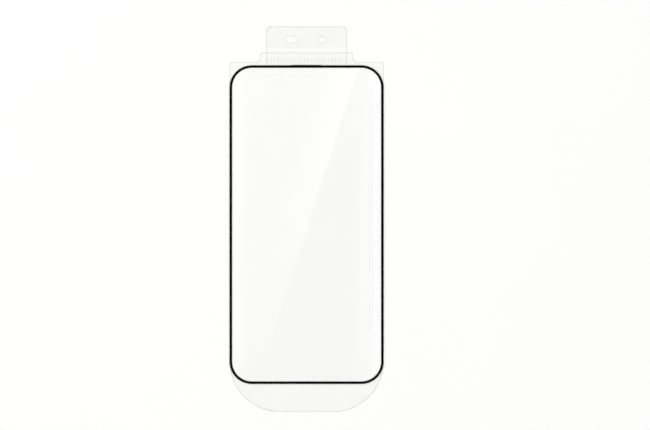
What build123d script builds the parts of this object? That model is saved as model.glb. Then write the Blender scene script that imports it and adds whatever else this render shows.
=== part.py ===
from build123d import *
import os

# Driving dimensions, in millimetres.

# Clear pane: glass with its adhesive coat, and the ink border let into the underside of its rim.
pane_width = 69.35
pane_length = 143.45
pane_thickness = 0.4
pane_corner_radius = 10.0
pane_edge_round = 0.2
border_width = 1.1
border_thickness = 0.05
earpiece_length = 14.4
earpiece_slope = 1.0
earpiece_lip = 0.15

# Carrier sheet behind the pane, with its shoulders, neck and pull tongue.
carrier_thickness = 0.25
carrier_side_margin = 0.15
carrier_head_margin = 1.5
shoulder_corner_radius = 1.6
tongue_reach = 12.65
tongue_corner_radius = 23.1
neck_width = 41.8
neck_height = 4.3
neck_corner_radius = 1.0
neck_root_radius = 1.8

# Locating tab, lapped over the neck. Its height is what stands above the neck.
tab_width = 36.45
tab_height = 11.75
tab_thickness = 0.25
tab_corner_radius = 2.1
tab_to_pane_clearance = 0.7
hole_drop = 6.05
hole_spacing = 14.2
pin_hole_diameter = 2.8
slot_length = 5.2
slot_width = 2.8

# The cutting rule leaves a bevel along the front of the film sheets' outlines, and a finer one at punched holes.
# The tab's foot is the film's own slit edge, so it stays square.
cut_edge_bevel = 0.15
punch_bevel = 0.08

# Crimped ribs that hold the tab and the neck together. They fade out towards the tab's free end.
rib_pitch = 1.52
rib_width = 0.6
rib_crest_width = 0.1
rib_height = 0.12
rib_head_slope = 1.2
rib_foot_slope = 0.25
rib_side_margin = 1.0
rib_head_margin = 1.4
rib_foot_margin = 0.3

# Places along the length. The origin is at the middle of the whole outline, on the underside.
pane_centre_y = (tongue_reach - carrier_head_margin - neck_height - tab_height) / 2
pane_top_y = pane_centre_y + pane_length / 2
tongue_end_y = pane_centre_y - pane_length / 2 - tongue_reach
shoulder_y = pane_top_y + carrier_head_margin
neck_top_y = shoulder_y + neck_height
tab_top_y = neck_top_y + tab_height
tab_foot_y = pane_top_y + tab_to_pane_clearance
hole_y = tab_top_y - hole_drop
rib_foot_y = tab_foot_y + rib_foot_margin
rib_head_y = neck_top_y - rib_head_margin


def strip(width, low_y, high_y):
    """A rectangle about the centre line, from one place along the length to another."""
    return Pos(0, (low_y + high_y) / 2) * Rectangle(width, high_y - low_y)


def pane_outline():
    """Rounded rectangle with a shallow lip over the earpiece."""
    body = RectangleRounded(pane_width, pane_length, pane_corner_radius)
    half_foot = earpiece_length / 2
    half_crest = half_foot - earpiece_slope
    edge_y = pane_length / 2
    lip = Polygon(
        (-half_foot, edge_y - border_width),
        (half_foot, edge_y - border_width),
        (half_foot, edge_y),
        (half_crest, edge_y + earpiece_lip),
        (-half_crest, edge_y + earpiece_lip),
        (-half_foot, edge_y),
        align=None,
    )
    return Pos(0, pane_centre_y) * (body + lip)


def border_ring():
    """The ink border: the rim of the pane's outline, concentric at the corners."""
    window = RectangleRounded(
        pane_width - 2 * border_width,
        pane_length - 2 * border_width,
        pane_corner_radius - border_width,
    )
    rim = pane_outline() - Pos(0, pane_centre_y) * window
    return extrude(Pos(0, 0, carrier_thickness) * rim, amount=border_thickness)


def glass_pane(border):
    """The pane with its rounded front edge and the seat of the border under its rim."""
    pane = extrude(Pos(0, 0, carrier_thickness) * pane_outline(), amount=pane_thickness)
    front_edge = pane.faces().sort_by(Axis.Z)[-1].outer_wire().edges()
    return fillet(front_edge, pane_edge_round) - border


def carrier_outline():
    """Shoulders, neck and rounded tongue in one outline."""
    outline = strip(pane_width + 2 * carrier_side_margin, tongue_end_y, shoulder_y)
    outline += strip(neck_width, shoulder_y, neck_top_y)
    outline = fillet(outline.vertices().group_by(Axis.Y)[-1], neck_corner_radius)
    shoulder = outline.vertices().group_by(Axis.Y)[1].sort_by(Axis.X)
    outline = fillet(shoulder[1:-1], neck_root_radius)
    shoulder = outline.vertices().group_by(Axis.Y)[1].sort_by(Axis.X)
    outline = fillet([shoulder[0], shoulder[-1]], shoulder_corner_radius)
    return fillet(outline.vertices().group_by(Axis.Y)[0], tongue_corner_radius)


def tab_outline():
    """The tab with its rounded upper corners, its pin hole on the right and its slot on the left."""
    outline = strip(tab_width, tab_foot_y, tab_top_y)
    outline = fillet(outline.vertices().group_by(Axis.Y)[-1], tab_corner_radius)
    outline -= Pos(hole_spacing / 2, hole_y) * Circle(pin_hole_diameter / 2)
    outline -= Pos(-hole_spacing / 2, hole_y) * SlotOverall(slot_length, slot_width)
    return outline


def ribs(base_z):
    """The row of crimp ribs, each with sloping flanks and ends, standing on one level."""
    base = strip(rib_width, rib_foot_y, rib_head_y)
    crest = strip(rib_crest_width, rib_foot_y + rib_foot_slope, rib_head_y - rib_head_slope)
    rib = loft([base, Pos(0, 0, rib_height) * crest], ruled=True)
    count = int((neck_width - 2 * rib_side_margin - rib_width) / rib_pitch) + 1
    return [Pos(0, 0, base_z) * place * rib for place in GridLocations(rib_pitch, 1, count, 1)]


def cut_sheet(outline, base_z, thickness, square_foot):
    """A sheet with the bevels that cutting leaves round its front."""
    sheet = extrude(Pos(0, 0, base_z) * outline, amount=thickness)
    rim = sheet.faces().sort_by(Axis.Z)[-1].outer_wire().edges().sort_by(Axis.Y)
    sheet = chamfer(rim[1:] if square_foot else rim, cut_edge_bevel)
    holes = sheet.faces().sort_by(Axis.Z)[-1].inner_wires()
    return chamfer([edge for hole in holes for edge in hole.edges()], punch_bevel) if holes else sheet


def crimped_sheet(outline, base_z, thickness, square_foot=False):
    """A sheet pressed into the ribs: ridges on its face, the same grooves in its back."""
    sheet = cut_sheet(outline, base_z, thickness, square_foot)
    reach = extrude(Pos(0, 0, base_z) * outline, amount=thickness + rib_height)
    ridges = [rib & reach for rib in ribs(base_z + thickness)]
    return sheet + ridges - ribs(base_z)


border = border_ring()
pieces = {
    "carrier_sheet": crimped_sheet(carrier_outline(), 0, carrier_thickness),
    "protector_pane": glass_pane(border),
    "black_border": border,
    "locating_tab": crimped_sheet(tab_outline(), carrier_thickness, tab_thickness, square_foot=True),
}

os.makedirs("parts", exist_ok=True)
for name, piece in pieces.items():
    export_step(piece, f"parts/{name}.step")
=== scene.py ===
import math

import bpy
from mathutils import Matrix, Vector


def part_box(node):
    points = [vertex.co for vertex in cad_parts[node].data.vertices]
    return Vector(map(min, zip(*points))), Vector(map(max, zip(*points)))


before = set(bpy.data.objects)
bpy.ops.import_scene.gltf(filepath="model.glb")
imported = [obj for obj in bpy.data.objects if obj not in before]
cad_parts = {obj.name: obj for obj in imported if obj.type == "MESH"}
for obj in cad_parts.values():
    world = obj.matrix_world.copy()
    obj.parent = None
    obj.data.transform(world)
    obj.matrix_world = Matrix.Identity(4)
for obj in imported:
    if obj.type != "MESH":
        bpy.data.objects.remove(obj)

MM = 0.001

# Camera: straight above, with the photograph's framing.
VIEW_CENTRE = Vector((8.28, 1.88)) * MM
VIEW_WIDTH = 292.5 * MM
CAMERA_HEIGHT = 1.0
SENSOR_WIDTH = 36.0

# The pane's clear window, inside the ink border.
BORDER_WIDTH = 1.1 * MM
WINDOW_RADIUS = 8.9 * MM

# Touching faces are drawn in this far, so that light crosses each of them once.
HAIR = 0.005 * MM
WELD_REACH = HAIR / 10

# How much light the film lets through: hazed bare faces, painted shade on the ribs' flanks and the bevels,
# and on the cuts, which are partly frosted too, a darker margin along the cuts, narrower round punched holes.
# The seal above the neck isn't hazed. The neck is, across the ribs, along the line where the crimp pressed
# hardest.
CARRIER_HAZE = 0.948
TAB_HAZE = 0.959
HAZE_MOTTLE = 0.008
TAB_SEAL = 2.0 * MM
PRESS_RISE = 1.85 * MM
PRESS_FADE = (0.25 * MM, 0.85 * MM)
PRESS_HAZE = 0.65
CREASE_PAINTED_SHADE = 0.94
BEVEL_PAINTED_SHADE = 0.8
FROST_AND_PAINTED_SHADE = 0.3
CUT_MARGIN_TONE = 0.89
CUT_MARGIN = 0.52 * MM
PUNCH_MARGIN = 0.26 * MM
CUT_FADE = 0.35 * MM

# How level a face is at a cut, a bevel, a rib's flank and on the flat, with the light let through: painted
# shade, darker the steeper the face; at the cuts partly frost too.
SLOPE_PAINTED_SHADE = ((0.5, FROST_AND_PAINTED_SHADE), (0.69, BEVEL_PAINTED_SHADE), (0.88, CREASE_PAINTED_SHADE), (0.99, 1.0))

# Outlines of the film sheets, which the clouded margins follow.
SHOULDER_RISE = 1.35 * MM
SHOULDER_RADIUS = 1.6 * MM
TONGUE_RADIUS = 23.1 * MM
NECK_WIDTH = 41.8 * MM
NECK_RADIUS = 1.0 * MM
NECK_ROOT_RADIUS = 1.8 * MM
TAB_RADIUS = 2.1 * MM
HOLE_RADIUS = 1.4 * MM
HOLE_PLACE = Vector((7.1, 80.775)) * MM
SLOT_STRAIGHT = 2.4 * MM

# Finishes. Noises are given as feature size and detail, and bumps as strength and height. A noise is used over
# the range where most of its values are. What a clear face passes is the light for what lies behind it.
NOISE_RANGE = (0.3, 0.7)
HAZE_NOISE = (9 * MM, 4.0)
HAZE_NOISE_RANGE = (0.35, 0.65)
FILM_GRAIN = (1.2 * MM, 6.0)
FILM_ROUGHNESS = (0.02, 0.07)
FILM_WAVE = (12 * MM, 2.0)
FILM_WAVE_BUMP = (0.05, 0.2 * MM)
FILM_IOR = 1.15
FILM_PASSES = 0.99
GLASS_TINT_NOISE = (14 * MM, 3.0)
GLASS_TINTS = ((0.994, 0.996, 0.994), (1.0, 1.0, 1.0))
GLASS_GRAIN = (2 * MM, 4.0)
GLASS_ROUGHNESS = (0.0, 0.003)
GLASS_RIPPLE = (30 * MM, 2.0)
GLASS_RIPPLE_BUMP = (0.01, 0.1 * MM)
GLASS_IOR = 1.5
GLASS_PASSES = 0.998
INK_GRAIN = (0.15 * MM, 3.0)
INK_GRAIN_BUMP = (0.1, 0.01 * MM)
INK_TONES = ((0.0008, 0.0008, 0.001), (0.003, 0.003, 0.0035))
INK_ROUGHNESS = (0.3, 0.45)

# The floor, a hair below the part.
FLOOR_REACH = 6.0
FLOOR_DROP = 2 * HAIR
FLOOR_NOISE = (60 * MM, 3.0)
FLOOR_TONES = ((0.978, 0.978, 0.966), (0.984, 0.984, 0.972))
FLOOR_ROUGHNESS = 0.9

# A light card above the camera, which the pane mirrors. Its pattern is given where it shows in the pane.
CARD_RISE = 1.6
CARD_SCALE = 1 + CARD_RISE / CAMERA_HEIGHT
CARD_INSET = 0.2 * MM
CORNER_STEPS = 12
CARD_FOOT_GLOW = 0.78
CARD_HEAD_GLOW = 0.93
GLARE_TOP = Vector((23.55, 69.1)) * MM
GLARE_FOOT = Vector((-16.5, -56.6)) * MM
GLARE_FADE = (-68 * MM, -54 * MM)
GLARE_GLOW = 0.24
GLARE_LINE_FADE = (-40 * MM, 69 * MM)
GLARE_LINE_GLOW = 0.75
GLARE_LINE_SPAN = 16 * MM
LEFT_SIDE = (-29.5 * MM, -25.9 * MM)
LEFT_SIDE_GLOW = 0.36
RIGHT_SIDE = (20.0 * MM, 27.5 * MM)
RIGHT_SIDE_GLOW = 0.4
RIGHT_EDGE = (29.8 * MM, 30.3 * MM)
RIGHT_EDGE_GLOW = 0.25
SLAT_GAPS = (28.3 * MM, 29.65 * MM, 32.35 * MM)
SLAT_GAP_WIDTH = 0.5 * MM
SLAT_GAP_SHADE = 0.45
SLAT_END = (46 * MM, 58 * MM)
RIM_WIDTH = 2.2 * MM
RIM_GLOW = 0.6

# The studio's walls: their tone by the height of the direction to them, how bright they are, and on which
# side they are brighter. The ceiling is black, because the glass over the ink mirrors it.
WALL_TONES = ((0.0, 0.5), (0.3, 0.62), (0.55, 0.88), (0.75, 1.0), (0.89, 0.97), (0.935, 0.5), (0.98, 0.0))
WALL_GLOW = 1.224
WALL_LEAN = (-0.1, 0.08, 0.0)

# A softbox behind the part and to its left.
SOFTBOX_PLACE = (-0.7, 0.6, 0.9)
SOFTBOX_SIZE = 0.6
SOFTBOX_POWER = 1.7

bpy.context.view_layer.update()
pane_low, pane_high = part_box("protector_pane")
carrier_low, carrier_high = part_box("carrier_sheet")
tab_low, tab_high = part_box("locating_tab")


class Nodes:
    """A node tree, with short ways to add nodes and link them."""

    def __init__(self, tree):
        self.tree = tree

    def add(self, kind, inputs=None, **settings):
        """A node with its properties set, and its inputs set or linked by name or number."""
        node = self.tree.nodes.new("ShaderNode" + kind)
        for name, value in settings.items():
            setattr(node, name, value)
        for key, value in (inputs or {}).items():
            if isinstance(value, bpy.types.NodeSocket):
                self.tree.links.new(value, node.inputs[key])
            else:
                node.inputs[key].default_value = value
        return node

    def math(self, operation, *values):
        """The result of a Math node."""
        return self.add("Math", dict(enumerate(values)), operation=operation).outputs[0]

    def vector(self, operation, *values):
        """The result of a Vector Math node."""
        node = self.add("VectorMath", dict(enumerate(values)), operation=operation)
        return node.outputs["Value" if operation in ("DOT_PRODUCT", "LENGTH") else "Vector"]

    def spread(self, value, start, end, low, high):
        """A value's range from start to end, laid out from low to high and held beyond them."""
        return self.add("MapRange", {0: value, 1: start, 2: end, 3: low, 4: high}).outputs[0]

    def place(self):
        """A point's place in its object: X, Y and Z outputs."""
        return self.add("SeparateXYZ", {0: self.add("TexCoord").outputs["Object"]}).outputs

    def noise(self, size, detail):
        """Noise with features of about this size."""
        where = self.add("TexCoord").outputs["Object"]
        return self.add("TexNoise", {"Vector": where, "Scale": 1 / size, "Detail": detail}).outputs["Fac"]

    def length(self, *sides):
        """The length of a step with these sides."""
        return self.vector("LENGTH", self.add("CombineXYZ", dict(enumerate(sides))).outputs[0])

    def box_distance(self, low, high, head_radius, foot_radius):
        """How far a point is outside a box with rounded corners, seen from above. It is negative inside."""
        x, y, _ = self.place()
        middle, half = (low + high) / 2, (high - low) / 2
        radius = self.spread(y, middle.y, middle.y + HAIR, foot_radius, head_radius)
        overs = []
        for place, centre, side in ((x, middle.x, half.x), (y, middle.y, half.y)):
            off = self.math("ABSOLUTE", self.math("SUBTRACT", place, centre))
            overs.append(self.math("ADD", self.math("SUBTRACT", off, side), radius))
        within = self.math("MINIMUM", self.math("MAXIMUM", *overs), 0.0)
        beyond = self.length(*(self.math("MAXIMUM", over, 0.0) for over in overs))
        return self.math("SUBTRACT", self.math("ADD", within, beyond), radius)

    def ramp(self, value, stops):
        """A colour from stops of position and colour, in order."""
        node = self.add("ValToRGB", {"Fac": value})
        elements = node.color_ramp.elements
        elements[0].position, elements[1].position = stops[0][0], stops[-1][0]
        for position, _ in stops[1:-1]:
            elements.new(position)
        for element, (_, colour) in zip(elements, stops):
            element.color = (*colour, 1)
        return node.outputs[0]

    def grey_ramp(self, value, stops):
        """A grey from stops of position and tone, in order."""
        return self.ramp(value, [(position, (tone, tone, tone)) for position, tone in stops])

    def noise_ramp(self, noise, colours):
        """A colour between two colours, from a noise."""
        return self.ramp(noise, list(zip(NOISE_RANGE, colours)))

    def bump(self, height, strength, distance):
        """A normal that follows a height."""
        return self.add("Bump", {"Strength": strength, "Distance": distance, "Height": height}).outputs[0]

    def show(self, shader):
        """Send a shader to the surface."""
        output = self.add("OutputMaterial")
        self.tree.links.new(shader.outputs[0], output.inputs["Surface"])

    def show_clear(self, shader, passes):
        """Send a clear shader to the surface, and let light for what lies behind it straight through."""
        path = self.add("LightPath").outputs
        passing = self.math("MAXIMUM", path["Is Shadow Ray"], path["Is Diffuse Ray"])
        through = self.add("BsdfTransparent", {"Color": (passes, passes, passes, 1)})
        self.show(self.add("MixShader", {0: passing, 1: shader.outputs[0], 2: through.outputs[0]}))


def new_material(name):
    """A material and its empty node tree."""
    material = bpy.data.materials.new(name)
    material.use_nodes = True
    material.node_tree.nodes.clear()
    return material, Nodes(material.node_tree)


def film_material(name, haze, bare_of, edge_of):
    """Clear film: hazed on its bare faces, faintly wavy, with painted shade greying its sloped faces where it
    is creased or cut, partly the cuts' own frost, and darker along its cuts.
    """
    material, nodes = new_material(name)
    normal = nodes.add("SeparateXYZ", {0: nodes.add("NewGeometry").outputs["Normal"]}).outputs
    # Painted shade: the steeper a face, the less light it lets through. At the cuts this is partly frost.
    slope_shade = nodes.grey_ramp(nodes.math("ABSOLUTE", normal["Z"]), SLOPE_PAINTED_SHADE)
    haze_range = (haze - HAZE_MOTTLE, haze + HAZE_MOTTLE)
    cloud = nodes.spread(nodes.noise(*HAZE_NOISE), *HAZE_NOISE_RANGE, *haze_range)
    veil = nodes.add("Mix", {0: bare_of(nodes), 2: 1.0, 3: cloud}).outputs[0]
    # A darker band inside the cuts and round the punched holes, fading in over CUT_FADE.
    inner, outer = -CUT_MARGIN - CUT_FADE / 2, -CUT_MARGIN + CUT_FADE / 2
    veil = nodes.math("MULTIPLY", veil, nodes.spread(edge_of(nodes), inner, outer, 1.0, CUT_MARGIN_TONE))
    film = nodes.add("BsdfPrincipled", {
        "Base Color": nodes.add("VectorMath", {0: slope_shade, 3: veil}, operation="SCALE").outputs[0],
        "Roughness": nodes.spread(nodes.noise(*FILM_GRAIN), *NOISE_RANGE, *FILM_ROUGHNESS),
        "IOR": FILM_IOR,
        "Transmission Weight": 1.0,
        "Normal": nodes.bump(nodes.noise(*FILM_WAVE), *FILM_WAVE_BUMP),
    })
    nodes.show_clear(film, FILM_PASSES)
    return material


def carrier_bare(nodes):
    """The carrier is hazed underneath, from its tongue up to the pane's head, and along the crimp's line."""
    _, y, z = nodes.place()
    under = nodes.math("LESS_THAN", z, pane_low.z / 2)
    body = nodes.math("MULTIPLY", under, nodes.math("LESS_THAN", y, pane_high.y))
    off = nodes.math("ABSOLUTE", nodes.math("SUBTRACT", y, pane_high.y + PRESS_RISE))
    return nodes.math("MAXIMUM", body, nodes.spread(off, *PRESS_FADE, PRESS_HAZE, 0.0))


def tab_bare(nodes):
    """The tab is hazed on both sides down to the seal, which ends a little above the neck's edge."""
    return nodes.math("GREATER_THAN", nodes.place()["Y"], carrier_high.y + TAB_SEAL)


def carrier_edge(nodes):
    """How far a point is outside the carrier's outline: its body and its neck, rounded where they meet."""
    shoulder = Vector((carrier_high.x, pane_high.y + SHOULDER_RISE, 0))
    body = nodes.box_distance(carrier_low, shoulder, SHOULDER_RADIUS, TONGUE_RADIUS)
    neck_low = Vector((-NECK_WIDTH / 2, pane_low.y, 0))
    neck_high = Vector((NECK_WIDTH / 2, carrier_high.y, 0))
    neck = nodes.box_distance(neck_low, neck_high, NECK_RADIUS, NECK_RADIUS)
    near = [nodes.math("MAXIMUM", nodes.math("SUBTRACT", NECK_ROOT_RADIUS, part), 0.0)
            for part in (body, neck)]
    least = nodes.math("MAXIMUM", nodes.math("MINIMUM", body, neck), NECK_ROOT_RADIUS)
    return nodes.math("SUBTRACT", least, nodes.length(*near))


def tab_edge(nodes):
    """How far a point is outside the tab's cut outline, or inside its hole or slot. Its foot isn't a cut."""
    x, y, _ = nodes.place()
    edge = nodes.box_distance(Vector((tab_low.x, pane_low.y, 0)), tab_high, TAB_RADIUS, TAB_RADIUS)
    up = nodes.math("SUBTRACT", y, HOLE_PLACE.y)
    for centre, straight in ((HOLE_PLACE.x, 0.0), (-HOLE_PLACE.x, SLOT_STRAIGHT)):
        along = nodes.math("ABSOLUTE", nodes.math("SUBTRACT", x, centre))
        along = nodes.math("MAXIMUM", nodes.math("SUBTRACT", along, straight / 2), 0.0)
        opening = nodes.math("SUBTRACT", HOLE_RADIUS + PUNCH_MARGIN - CUT_MARGIN, nodes.length(along, up))
        edge = nodes.math("MAXIMUM", edge, opening)
    return edge


def glass_material():
    """Clear polished glass, with the faint ripple of its adhesive coat."""
    material, nodes = new_material("clear_glass")
    glass = nodes.add("BsdfPrincipled", {
        "Base Color": nodes.noise_ramp(nodes.noise(*GLASS_TINT_NOISE), GLASS_TINTS),
        "Roughness": nodes.spread(nodes.noise(*GLASS_GRAIN), *NOISE_RANGE, *GLASS_ROUGHNESS),
        "IOR": GLASS_IOR,
        "Transmission Weight": 1.0,
        "Normal": nodes.bump(nodes.noise(*GLASS_RIPPLE), *GLASS_RIPPLE_BUMP),
    })
    nodes.show_clear(glass, GLASS_PASSES)
    return material


def ink_material():
    """Deep black printed ink, with the fine grain of the screen it was printed through."""
    material, nodes = new_material("black_ink")
    grain = nodes.noise(*INK_GRAIN)
    nodes.show(nodes.add("BsdfPrincipled", {
        "Base Color": nodes.noise_ramp(grain, INK_TONES),
        "Roughness": nodes.spread(grain, *NOISE_RANGE, *INK_ROUGHNESS),
        "Specular IOR Level": 0.0,
        "Normal": nodes.bump(grain, *INK_GRAIN_BUMP),
    }))
    return material


def floor_material():
    """Matt white paper, very faintly mottled."""
    material, nodes = new_material("floor")
    nodes.show(nodes.add("BsdfPrincipled", {
        "Base Color": nodes.noise_ramp(nodes.noise(*FLOOR_NOISE), FLOOR_TONES),
        "Roughness": FLOOR_ROUGHNESS,
        "Specular IOR Level": 0.0,
    }))
    return material


def card_material():
    """The card's light: brighter left of a slanting line and along the sides, with dark gaps on the right."""
    material, nodes = new_material("light_card")
    where = nodes.add("TexCoord").outputs["Object"]
    x, y, _ = nodes.place()
    line = (GLARE_TOP - GLARE_FOOT).normalized()
    across = Vector((-line.y, line.x, 0))
    beside = nodes.math("SUBTRACT", nodes.vector("DOT_PRODUCT", where, across), across.xy.dot(GLARE_FOOT))
    near = nodes.math("MULTIPLY", nodes.spread(beside, 0.0, GLARE_LINE_SPAN, 1.0, 0.0),
                      nodes.spread(y, *GLARE_LINE_FADE, 0.0, GLARE_LINE_GLOW))
    wash = nodes.math("ADD", near, nodes.spread(y, *GLARE_FADE, 0.0, GLARE_GLOW))
    wash = nodes.math("MULTIPLY", wash, nodes.math("GREATER_THAN", beside, 0.0))

    border = Vector((BORDER_WIDTH, BORDER_WIDTH, 0))
    edge = nodes.box_distance(pane_low + border, pane_high - border, WINDOW_RADIUS, WINDOW_RADIUS)

    glow = nodes.spread(y, pane_low.y, pane_high.y, CARD_FOOT_GLOW, CARD_HEAD_GLOW)
    for part in (
        wash,
        nodes.spread(x, *LEFT_SIDE, LEFT_SIDE_GLOW, 0.0),
        nodes.spread(x, *RIGHT_SIDE, 0.0, RIGHT_SIDE_GLOW),
        nodes.spread(x, *RIGHT_EDGE, 0.0, RIGHT_EDGE_GLOW),
        nodes.spread(edge, -RIM_WIDTH, 0.0, 0.0, RIM_GLOW),
    ):
        glow = nodes.math("ADD", glow, part)
    shade = nodes.spread(nodes.math("ABSOLUTE", y), *SLAT_END, SLAT_GAP_SHADE, 0.0)
    for gap in SLAT_GAPS:
        here = nodes.math("MULTIPLY", nodes.math("COMPARE", x, gap, SLAT_GAP_WIDTH / 2), shade)
        glow = nodes.math("MULTIPLY", glow, nodes.math("SUBTRACT", 1.0, here))
    nodes.show(nodes.add("Emission", {"Strength": glow}))
    return material


def link(made):
    """Put an object into the scene."""
    bpy.context.scene.collection.objects.link(made)
    return made


def flat_mesh(name, outline, material):
    """One flat face from its outline."""
    mesh = bpy.data.meshes.new(name)
    mesh.from_pydata([(x, y, 0) for x, y in outline], [], [tuple(range(len(outline)))])
    mesh.materials.append(material)
    return link(bpy.data.objects.new(name, mesh))


def floor_outline():
    """A large square about the part."""
    return [(x * FLOOR_REACH, y * FLOOR_REACH) for x, y in ((-1, -1), (1, -1), (1, 1), (-1, 1))]


def window_outline():
    """The pane's clear window, a little inside the border, with its rounded corners."""
    inset = BORDER_WIDTH + CARD_INSET + WINDOW_RADIUS
    left, right = pane_low.x + inset, pane_high.x - inset
    low, high = pane_low.y + inset, pane_high.y - inset
    outline = []
    for start, centre in ((0, (right, high)), (90, (left, high)), (180, (left, low)), (270, (right, low))):
        for step in range(CORNER_STEPS + 1):
            angle = math.radians(start + 90 * step / CORNER_STEPS)
            arm = Vector((math.cos(angle), math.sin(angle))) * WINDOW_RADIUS
            outline.append(Vector(centre) + arm)
    return outline


def ease_apart(piece):
    """Draw a piece's faces in by a hair, so that none lies exactly on its neighbour's."""
    weld = piece.modifiers.new("weld", "WELD")
    weld.merge_threshold = WELD_REACH
    ease = piece.modifiers.new("ease", "DISPLACE")
    ease.mid_level = 0
    ease.strength = -HAIR


finishes = {
    "carrier_sheet": film_material("carrier_film", CARRIER_HAZE, carrier_bare, carrier_edge),
    "locating_tab": film_material("tab_film", TAB_HAZE, tab_bare, tab_edge),
    "protector_pane": glass_material(),
    "black_border": ink_material(),
}
for name, material in finishes.items():
    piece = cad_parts[name]
    piece.data.materials.clear()
    piece.data.materials.append(material)
    ease_apart(piece)

# Stage.
floor = flat_mesh("floor", floor_outline(), floor_material())
floor.location.z = -FLOOR_DROP
card = flat_mesh("light_card", window_outline(), card_material())
card.location = (*VIEW_CENTRE * (1 - CARD_SCALE), pane_high.z + CARD_RISE)
card.scale = (CARD_SCALE, CARD_SCALE, 1)

# Studio: walls that pale upwards and to the left, under the black ceiling, and the softbox.
scene = bpy.context.scene
scene.world = bpy.data.worlds.new("studio")
scene.world.use_nodes = True
studio = Nodes(scene.world.node_tree)
towards = studio.add("TexCoord").outputs["Generated"]
walls = studio.grey_ramp(studio.add("SeparateXYZ", {0: towards}).outputs["Z"], WALL_TONES)
lean = studio.vector("DOT_PRODUCT", towards, WALL_LEAN)
background = studio.tree.nodes["Background"]
studio.tree.links.new(walls, background.inputs["Color"])
studio.tree.links.new(studio.math("ADD", WALL_GLOW, lean), background.inputs["Strength"])

softbox = link(bpy.data.objects.new("softbox", bpy.data.lights.new("softbox", "AREA")))
softbox.data.size = SOFTBOX_SIZE
softbox.data.energy = SOFTBOX_POWER
softbox.location = SOFTBOX_PLACE
softbox.rotation_euler = (-softbox.location).to_track_quat("-Z", "Y").to_euler()

camera = link(bpy.data.objects.new("camera", bpy.data.cameras.new("camera")))
camera.data.sensor_width = SENSOR_WIDTH
camera.data.lens = SENSOR_WIDTH * CAMERA_HEIGHT / VIEW_WIDTH
camera.location = (*VIEW_CENTRE, pane_high.z + CAMERA_HEIGHT)
scene.camera = camera
scene.view_settings.view_transform = "Standard"
